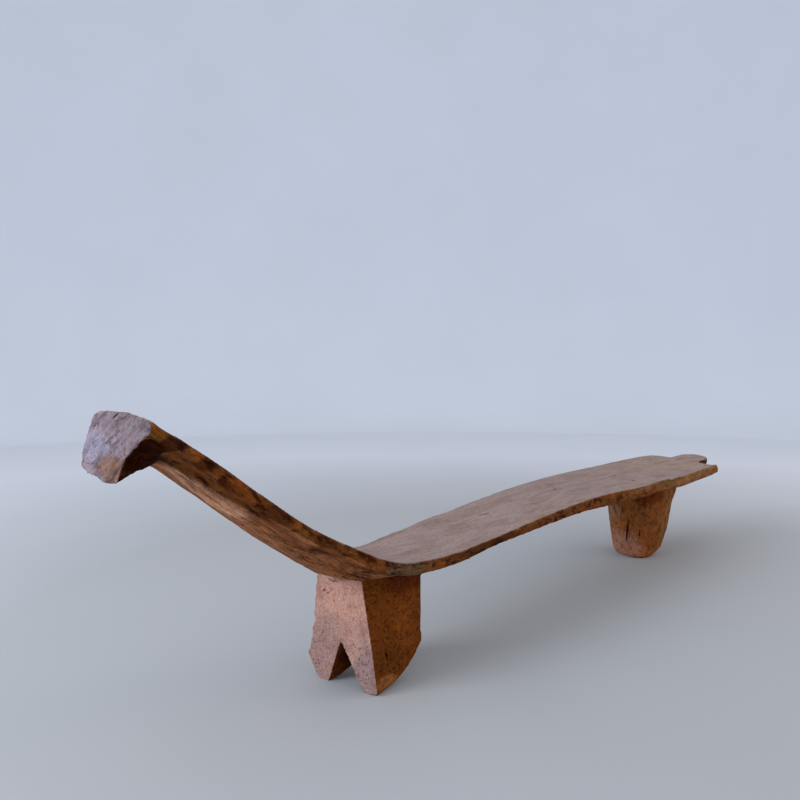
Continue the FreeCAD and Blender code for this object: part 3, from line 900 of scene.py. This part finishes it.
def carve():
    """Make the whole bed's surface with all that its material needs."""
    mesh, tree = join_members()
    plank = Plank(tree)
    log = Surface(mesh)
    log.relax(FIRST_TURNS)
    plank.smooth(log)
    shape_members(log)
    log.relax(SECOND_TURNS)
    marks = damage(plank)
    x, y, z = log.points.T
    close = (x < LEG_BACK + LEG_ROOM) & (z < LEG_TOP + LEG_ROOM)
    close |= (x < NECK - HEAD_ROOM) & (log.normals[:, 0] < -0.4)
    close |= near_damage(log, marks, FINE_REACHES[1])
    refine(log, close)
    refine(log, near_damage(log, marks, FINE_REACHES[0]))
    zone = zones(log, plank)
    grain = grain_places(log.points, plank)
    patch = hew(log, grain, zone)
    dark = cut_damage(log, marks)
    log.points[:, 2] = np.maximum(log.points[:, 2], 0)
    log.refresh()
    colour, amounts, sheen = paint(log, plank, zone)
    head = (zone["head"] > 0.5)[:, None]
    leg = (zone["leg_front"] + zone["leg_side"] > 0.5)[:, None]
    stump = (zone["stump"] > 0.5)[:, None]
    upright = turned(log.points, (0, 0, 1), (1, 0, 0))
    grain = np.where(head, turned(log.points, *HEAD_GRAIN), grain)
    grain = np.where(leg, upright * LEG_GRAIN, grain)
    grain = np.where(stump, upright * STUMP_GRAIN, grain)
    keep(log.mesh, "tint", "FLOAT_COLOR", np.concatenate([colour, np.ones((len(colour), 1))], axis=1))
    keep(log.mesh, "grain", "FLOAT_VECTOR", grain)
    keep(log.mesh, "amounts", "FLOAT_COLOR", amounts)
    keep(log.mesh, "sheen", "FLOAT", sheen)
    keep(log.mesh, "wear", "FLOAT", np.clip(log.bulge(WEAR_TURNS) / WEAR_HEIGHT, -1, 1))
    keep(log.mesh, "patch", "FLOAT", patch)
    keep(log.mesh, "dark", "FLOAT", dark)
    keep(log.mesh, "smooth", "FLOAT_VECTOR", log.normals)
    return log, plank


log, plank = carve()


# Points of a cut that lie closer than this are joined, and slivers beside it thinner than this go
SEAM = 0.00015
SLIVER = 0.00002


def with_caps(work, kept, outward):
    """Keep some faces of a mesh, and close the hole where the others were with faces that look
    outward."""
    cap = work.faces.layers.int.get("cap") or work.faces.layers.int.new("cap")
    work.faces.ensure_lookup_table()
    gone = [face for face in work.faces if not kept[face.index]]
    bmesh.ops.delete(work, geom=gone, context="FACES")
    corners = [vertex for vertex in work.verts if vertex.is_boundary]
    bmesh.ops.remove_doubles(work, verts=corners, dist=SEAM)
    beside = [edge for edge in work.edges if any(vertex.is_boundary for vertex in edge.verts)]
    bmesh.ops.dissolve_degenerate(work, edges=beside, dist=SLIVER)
    rim = [edge for edge in work.edges if edge.is_boundary]
    filled = bmesh.ops.triangle_fill(work, edges=rim, use_beauty=True)["geom"]
    made = [item for item in filled if isinstance(item, bmesh.types.BMFace)]
    rim = [edge for edge in work.edges if edge.is_boundary]
    made += bmesh.ops.holes_fill(work, edges=rim)["faces"]
    for face in made:
        face[cap] = 1
        face.normal_update()
        if face.normal @ outward < 0:
            face.normal_flip()
    return work


def halves(work, place, facing, seed=None):
    """Cut a closed mesh in two along a plane and close both sides. With a seed, the second side is
    only the piece that holds the point nearest to the seed."""
    place = Vector(place)
    facing = Vector(facing)
    geometry = work.verts[:] + work.edges[:] + work.faces[:]
    made = bmesh.ops.bisect_plane(work, geom=geometry, plane_co=place, plane_no=facing)
    work.faces.index_update()
    if seed is None:
        beyond = [(face.calc_center_median() - place) @ facing > 0 for face in work.faces]
    else:
        rim = {item for item in made["geom_cut"] if isinstance(item, bmesh.types.BMEdge)}
        start = min(work.faces, key=lambda face: (face.calc_center_median() - Vector(seed)).length)
        beyond = [False] * len(work.faces)
        beyond[start.index] = True
        waiting = [start]
        while waiting:
            for edge in waiting.pop().edges:
                if edge in rim:
                    continue
                for face in edge.link_faces:
                    if not beyond[face.index]:
                        beyond[face.index] = True
                        waiting.append(face)
    other = work.copy()
    return with_caps(work, [not far for far in beyond], facing), with_caps(other, beyond, -facing)


def lean(work, plank, turn):
    """Shift a mesh down by the plank's height, or up again, so that the plank lies level meanwhile."""
    heights = plank.height(np.array([vertex.co.x for vertex in work.verts]))
    for vertex, height in zip(work.verts, heights):
        vertex.co.z += float(height) * turn


def members(log, plank):
    """Cut the surface into the members, along the same lines as the frame's."""
    whole = bmesh.new()
    whole.from_mesh(log.mesh)
    head, rest = halves(whole, (NECK, 0, 0), (1, 0, 0))
    arm, rest = halves(rest, (HIP, 0, 0), (1, 0, 0))
    dip, rest = halves(rest, (WAIST, 0, 0), (1, 0, 0))
    seat, foot = halves(rest, (BOARD, 0, 0), (1, 0, 0))
    lean(arm, plank, -1)
    edge_neck = KEEL_NECK - float(plank.height(np.array([NECK]))[0])
    edge_hip = KEEL_HIP - float(plank.height(np.array([HIP]))[0])
    keel, backrest = halves(arm, (NECK, 0, edge_neck), (edge_neck - edge_hip, 0, HIP - NECK))
    lean(keel, plank, 1)
    lean(backrest, plank, 1)
    slant = (LEG_TOP - LEG_BACK_TOP, 0, LEG_BACK - LEG_FACE)
    leg, dip = halves(dip, (LEG_FACE, 0, LEG_TOP), slant)
    feet, leg = halves(leg, (0, 0, FORK_TOP - CUT_ROOM), (0, 0, 1))
    near_foot, far_foot = halves(feet, (0, FORK, 0), (0, 1, 0))
    board, stump = halves(foot, (0, 0, STUMP_HIGH.z - CUT_ROOM), (0, 0, -1), seed=(*STUMP.xy, 0))
    notch_x, notch_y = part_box("foot_tongue")[0].x + NOTCH_ROOM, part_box("foot_tongue")[0].y
    root_x, root_y = TONGUE_ROOT
    across = (root_y - notch_y, notch_x - root_x, 0)
    board, tongue = halves(board, (notch_x, notch_y, 0), across, seed=(cad_high.x, MIDDLE, SEAT_TOP))
    return {
        "headrest": head,
        "backrest": backrest,
        "backrest_keel": keel,
        "seat_dip": dip,
        "seat": seat,
        "foot_board": board,
        "foot_tongue": tongue,
        "front_leg": leg,
        "front_foot_near": near_foot,
        "front_foot_far": far_foot,
        "rear_leg": stump,
    }


def shade_smooth(mesh):
    """Shade a member as part of the whole bed, and its hidden cuts flat."""
    normals = rows(mesh.attributes["smooth"].data, "vector")[column(mesh.loops, "vertex_index")]
    sizes = column(mesh.polygons, "loop_total")
    hidden = np.repeat(column(mesh.attributes["cap"].data, "value") == 1, sizes)
    normals[hidden] = np.repeat(rows(mesh.polygon_normals, "vector"), sizes, axis=0)[hidden]
    normals /= np.maximum(np.linalg.norm(normals, axis=1), 1e-6)[:, None]
    mesh.polygons.foreach_set("use_smooth", np.ones(len(mesh.polygons), bool))
    mesh.normals_split_custom_set(normals)


class Nodes:
    """A short way to build a material's nodes."""

    def __init__(self, name):
        self.material = bpy.data.materials.new(name)
        self.material.use_nodes = True
        self.tree = self.material.node_tree
        self.shader = self.tree.nodes["Principled BSDF"]

    def add(self, kind, inputs=None, **settings):
        """Add a node, set its options and link or set its inputs."""
        node = self.tree.nodes.new(kind)
        for key, value in settings.items():
            setattr(node, key, value)
        for key, value in (inputs or {}).items():
            self.put(node.inputs[key], value)
        return node

    def put(self, socket, value):
        """Link an output to a socket, or set its number."""
        if isinstance(value, bpy.types.NodeSocket):
            self.tree.links.new(value, socket)
        else:
            socket.default_value = value

    def attribute(self, name, output="Fac"):
        """Read numbers stored on the mesh."""
        return self.add("ShaderNodeAttribute", attribute_name=name).outputs[output]

    def noise(self, vector, scale, detail=4.0, distortion=0.0):
        """Noise over a vector, stretched by a scale for each axis."""
        stretched = self.add("ShaderNodeVectorMath", {0: vector, 1: scale}, operation="MULTIPLY").outputs[0]
        values = {"Vector": stretched, "Scale": 1.0, "Detail": detail, "Distortion": distortion}
        return self.add("ShaderNodeTexNoise", values).outputs["Fac"]

    def span(self, value, low, high, to_low=0.0, to_high=1.0):
        """Stretch a number from one range to another and hold it there."""
        values = {"Value": value, "From Min": low, "From Max": high, "To Min": to_low, "To Max": to_high}
        return self.add("ShaderNodeMapRange", values).outputs["Result"]

    def math(self, operation, one, two):
        """Work out a number from two."""
        return self.add("ShaderNodeMath", {0: one, 1: two}, operation=operation).outputs[0]

    def mix(self, share, one, two, blend="MIX"):
        """Mix two colours."""
        node = self.add("ShaderNodeMix", data_type="RGBA", blend_type=blend)
        self.put(node.inputs[0], share)
        self.put(node.inputs[6], one)
        self.put(node.inputs[7], two)
        return node.outputs[2]

    def darken(self, share, colour, tone):
        """Multiply a colour by a tone on the 255 scale, by a share."""
        return self.mix(share, colour, rgba(*tone), "MULTIPLY")

    def lighten(self, share, colour, factors):
        """Mix a colour, by a share, with the same colour multiplied by factors."""
        return self.mix(share, colour, self.mix(1.0, colour, (*factors, 1.0), "MULTIPLY"))


def rgba(red, green, blue):
    """Give a colour for a socket."""
    return (*(float(part) for part in srgb(red, green, blue)), 1.0)


# How the wood's noises are stretched along, across and through the grain
GRAIN_SCALES = {
    "blotch": (9, 26, 26),
    "mottle": (38, 84, 84),
    "streak": (7, 120, 120),
    "fibre": (36, 520, 520),
    "pale": (46, 240, 240),
    "line": (11, 120, 120),
    "gap": (24, 40, 40),
}
GRIT_SCALE = (240, 240, 240)
CROWD_SCALE = (26, 26, 26)

# The tones that the wood is multiplied by where it is darker
TONES = {
    "blotch": (198, 180, 170),
    "mark": (204, 190, 182),
    "mottle": (140, 100, 74),
    "streak": (182, 160, 146),
    "fibre": (186, 166, 154),
    "grit": (190, 172, 162),
    "fissure": (96, 66, 48),
    "speck": (116, 78, 74),
    "sunk": (150, 120, 100),
}
CRACK_COLOUR = (30, 14, 8)

# What it is multiplied by where it is warmer, paler or worn
WARM = (1.45, 1.05, 0.62)
PALE = (1.5, 1.4, 1.3)
WORN = (1.45, 1.38, 1.3)

# The specks of the end grain: the scales of the cells that they lie in, their size as the distances
# from solid to clear, and how far and how finely their borders are shifted
SPECK_SCALES = (150.0, 330.0)
SPECK_SIZE = (0.18, 0.34)
SPECK_SHIFT = (0.007, 0.007, 0.007)
SHIFT_SCALE = 330.0

# How much each mark lowers the fine relief, and the relief's strength and depth
RELIEF = {"fibre": 0.35, "streak": 1.0, "mottle": 0.5, "fissure": 0.9, "speck": 1.2}
BUMP_STRENGTH = 0.6
BUMP_DEPTH = 0.001


def make_wood():
    """Old bare wood: streaks along the grain, blotches, dark hollows and pale worn edges."""
    nodes = Nodes("weathered_wood")
    grain = nodes.attribute("grain", "Vector")
    parts = nodes.add("ShaderNodeSeparateColor", {0: nodes.attribute("amounts", "Color")}).outputs
    mottled, fissured, speckled = parts["Red"], parts["Green"], parts["Blue"]
    streaked = nodes.attribute("amounts", "Alpha")
    place = nodes.add("ShaderNodeTexCoord").outputs["Object"]

    def along(name, detail, distortion=0.0):
        return nodes.noise(grain, GRAIN_SCALES[name], detail, distortion)

    def times(one, two):
        return nodes.math("MULTIPLY", one, two)

    # broad blotches and each tool mark's own tone
    blotch = along("blotch", 5.0, 0.8)
    colour = nodes.attribute("tint", "Color")
    colour = nodes.darken(nodes.span(blotch, 0.45, 0.75, 0.0, 0.55), colour, TONES["blotch"])
    colour = nodes.darken(nodes.span(nodes.attribute("patch"), 0.5, 1.0, 0.0, 0.25), colour, TONES["mark"])

    # dark mottles with ragged borders, and warm ones beside them
    field = along("mottle", 8.0, 0.5)
    mottle = times(nodes.span(field, 0.5, 0.64), mottled)
    colour = nodes.lighten(times(nodes.span(field, 0.46, 0.34, 0.0, 0.7), mottled), colour, WARM)
    colour = nodes.darken(mottle, colour, TONES["mottle"])

    # streaks, fibres and grit
    streak = along("streak", 7.0, 0.4)
    colour = nodes.darken(times(nodes.span(streak, 0.45, 0.68), streaked), colour, TONES["streak"])
    fibre = along("fibre", 3.0)
    colour = nodes.darken(times(nodes.span(fibre, 0.42, 0.68), streaked), colour, TONES["fibre"])
    grit = nodes.noise(place, GRIT_SCALE, 4.0)
    colour = nodes.darken(nodes.span(grit, 0.42, 0.66, 0.0, 0.5), colour, TONES["grit"])
    pale = times(nodes.span(along("pale", 3.0), 0.58, 0.72), streaked)
    colour = nodes.lighten(times(pale, 0.3), colour, PALE)

    # fine dark fissures that run with the grain
    apart = nodes.math("ABSOLUTE", nodes.math("SUBTRACT", along("line", 4.0, 0.6), 0.52), 0.0)
    broken = nodes.span(along("gap", 2.0), 0.42, 0.58)
    fissure = times(times(nodes.span(apart, 0.004, 0.018, 1.0, 0.0), broken), fissured)
    colour = nodes.darken(fissure, colour, TONES["fissure"])

    # small ragged pits of the cut end grain
    crowd = nodes.span(nodes.noise(place, CROWD_SCALE, 4.0), 0.4, 0.6, 0.96, 0.35)
    values = {"Vector": place, "Scale": SHIFT_SCALE, "Detail": 2.0}
    shift = nodes.add("ShaderNodeTexNoise", values).outputs["Color"]
    values = {0: shift, 1: SPECK_SHIFT, 2: place}
    shifted = nodes.add("ShaderNodeVectorMath", values, operation="MULTIPLY_ADD").outputs[0]
    speck = 0.0
    for scale in SPECK_SCALES:
        values = {"Vector": shifted, "Scale": scale, "Randomness": 1.0}
        cells = nodes.add("ShaderNodeTexVoronoi", values).outputs
        chance = nodes.add("ShaderNodeSeparateColor", {0: cells["Color"]}).outputs["Red"]
        chosen = nodes.math("GREATER_THAN", chance, crowd)
        dot = times(nodes.span(cells["Distance"], *SPECK_SIZE, 1.0, 0.0), chosen)
        speck = nodes.math("MAXIMUM", dot, speck)
    speck = times(speck, speckled)
    colour = nodes.darken(speck, colour, TONES["speck"])

    # worn edges are pale, sunk spots darker, and cracks are nearly black
    wear = nodes.attribute("wear")
    worn = times(nodes.span(wear, 0.25, 0.9, 0.0, 0.5), nodes.span(streak, 0.3, 0.6))
    colour = nodes.lighten(worn, colour, WORN)
    colour = nodes.darken(nodes.span(wear, -0.9, -0.3, 0.45, 0.0), colour, TONES["sunk"])
    colour = nodes.mix(nodes.attribute("dark"), colour, rgba(*CRACK_COLOUR))
    nodes.put(nodes.shader.inputs["Base Color"], colour)
    nodes.put(nodes.shader.inputs["Roughness"], nodes.span(blotch, 0.3, 0.7, 0.6, 0.8))
    nodes.put(nodes.shader.inputs["Specular IOR Level"], nodes.attribute("sheen"))

    marks = {"fibre": fibre, "streak": streak, "mottle": mottle, "fissure": fissure, "speck": speck}
    height = 0.0
    for name, mark in marks.items():
        height = nodes.math("SUBTRACT", height, times(mark, RELIEF[name]))
    values = {"Height": height, "Strength": BUMP_STRENGTH, "Distance": BUMP_DEPTH}
    nodes.put(nodes.shader.inputs["Normal"], nodes.add("ShaderNodeBump", values).outputs["Normal"])
    return nodes.material


wood = make_wood()
for name, work in members(log, plank).items():
    mesh = bpy.data.meshes.new(name)
    work.to_mesh(mesh)
    work.free()
    shade_smooth(mesh)
    mesh.materials.append(wood)
    piece = bpy.data.objects.new(name + "_carved", mesh)
    bpy.context.scene.collection.objects.link(piece)
    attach(piece, "root")
    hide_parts(name)

# The camera stands where the photograph was taken
CAMERA_PLACE = (-1.7262, -0.9679, 0.5793)
CAMERA_HEADING = math.radians(38.96)
CAMERA_DROP = math.radians(2.81)
CAMERA_LENS = 36.675
CAMERA_SENSOR = 36.0
camera_data = bpy.data.cameras.new("camera")
camera_data.lens = CAMERA_LENS
camera_data.sensor_width = CAMERA_SENSOR
camera = bpy.data.objects.new("camera", camera_data)
camera.location = CAMERA_PLACE
camera.rotation_euler = (math.radians(90) - CAMERA_DROP, 0, CAMERA_HEADING - math.radians(90))
bpy.context.scene.collection.objects.link(camera)
bpy.context.scene.camera = camera

# The round floor and the backdrop: the floor's radius, the radius of the bend at its edge, the
# wall's height, and the sides of the round
FLOOR_RADIUS = 4.6
BEND_RADIUS = 1.2
WALL_HEIGHT = 8.0
BEND_STEPS = 13
ROUND_SIDES = 96

# The floor is grey round the bed and paler further out. Both finishes are faintly cloudy
FLOOR_NEAR = (170, 175, 183)
FLOOR_FAR = (212, 219, 234)
FLOOR_FADE = (1.2, 3.0)
FLOOR_ROUGHNESS = 0.7
BACKDROP_COLOUR = (214, 222, 238)
BACKDROP_ROUGHNESS = 0.9
CLOUD_SCALE = (1.3, 1.3, 1.3)
CLOUD_TONE = (246, 246, 246)

# Each lamp: its name, its place, what it faces, its size, its power and its colour
LAMPS = (
    ("window", (-3.6, 1.3, 1.75), (-0.2, 0, 0.2), 1.9, 92, (0.96, 0.98, 1.0)),
    ("room", (2.2, -2.6, 1.8), (0, 0, 0.2), 2.4, 34, (1.0, 0.78, 0.55)),
)
WORLD_COLOUR = (0.91, 0.93, 0.96, 1)
WORLD_STRENGTH = 0.78


def matt_material(name, near, far, roughness):
    """A faintly cloudy matt finish that turns from one colour to another away from the bed."""
    nodes = Nodes(name)
    place = nodes.add("ShaderNodeNewGeometry").outputs["Position"]
    away = nodes.add("ShaderNodeVectorMath", {0: place}, operation="LENGTH").outputs["Value"]
    colour = nodes.mix(nodes.span(away, *FLOOR_FADE), rgba(*near), rgba(*far))
    colour = nodes.darken(nodes.noise(place, CLOUD_SCALE, 3.0), colour, CLOUD_TONE)
    nodes.put(nodes.shader.inputs["Base Color"], colour)
    nodes.shader.inputs["Roughness"].default_value = roughness
    return nodes.material


def add_stage(name, work, material):
    """Turn a bmesh into part of the stage."""
    mesh = bpy.data.meshes.new(name)
    work.to_mesh(mesh)
    work.free()
    mesh.materials.append(material)
    mesh.polygons.foreach_set("use_smooth", [True] * len(mesh.polygons))
    item = bpy.data.objects.new(name, mesh)
    bpy.context.scene.collection.objects.link(item)
    return item


def add_studio():
    """A pale floor that curves up into a backdrop all round."""
    disc = bmesh.new()
    bmesh.ops.create_circle(disc, cap_ends=True, radius=FLOOR_RADIUS, segments=ROUND_SIDES)
    add_stage("floor", disc, matt_material("floor", FLOOR_NEAR, FLOOR_FAR, FLOOR_ROUGHNESS))
    profile = []
    for angle in np.linspace(0, math.pi / 2, BEND_STEPS):
        profile.append((FLOOR_RADIUS + BEND_RADIUS * math.sin(angle), BEND_RADIUS * (1 - math.cos(angle))))
    profile.append((FLOOR_RADIUS + BEND_RADIUS, WALL_HEIGHT))
    bowl = bmesh.new()
    turns = [2 * math.pi * side / ROUND_SIDES for side in range(ROUND_SIDES)]
    rings = []
    for radius, height in profile:
        ring = [(radius * math.cos(turn), radius * math.sin(turn), height) for turn in turns]
        rings.append([bowl.verts.new(place) for place in ring])
    for low, high in zip(rings, rings[1:]):
        for side in range(ROUND_SIDES):
            after = (side + 1) % ROUND_SIDES
            bowl.faces.new((low[side], high[side], high[after], low[after]))
    finish = matt_material("backdrop", BACKDROP_COLOUR, BACKDROP_COLOUR, BACKDROP_ROUGHNESS)
    backdrop = add_stage("backdrop", bowl, finish)
    backdrop.visible_shadow = False
    backdrop.visible_diffuse = False


def add_lamp(name, place, target, size, energy, colour):
    """A soft square lamp that faces a target."""
    data = bpy.data.lights.new(name, "AREA")
    data.energy = energy
    data.size = size
    data.color = colour
    lamp = bpy.data.objects.new(name, data)
    lamp.location = place
    lamp.visible_camera = False
    lamp.rotation_euler = (Vector(place) - Vector(target)).to_track_quat("Z", "Y").to_euler()
    bpy.context.scene.collection.objects.link(lamp)


add_studio()
for lamp in LAMPS:
    add_lamp(*lamp)
world = bpy.data.worlds.new("room")
world.use_nodes = True
world.node_tree.nodes["Background"].inputs["Color"].default_value = WORLD_COLOUR
world.node_tree.nodes["Background"].inputs["Strength"].default_value = WORLD_STRENGTH
bpy.context.scene.world = world
bpy.context.scene.view_settings.view_transform = "Standard"
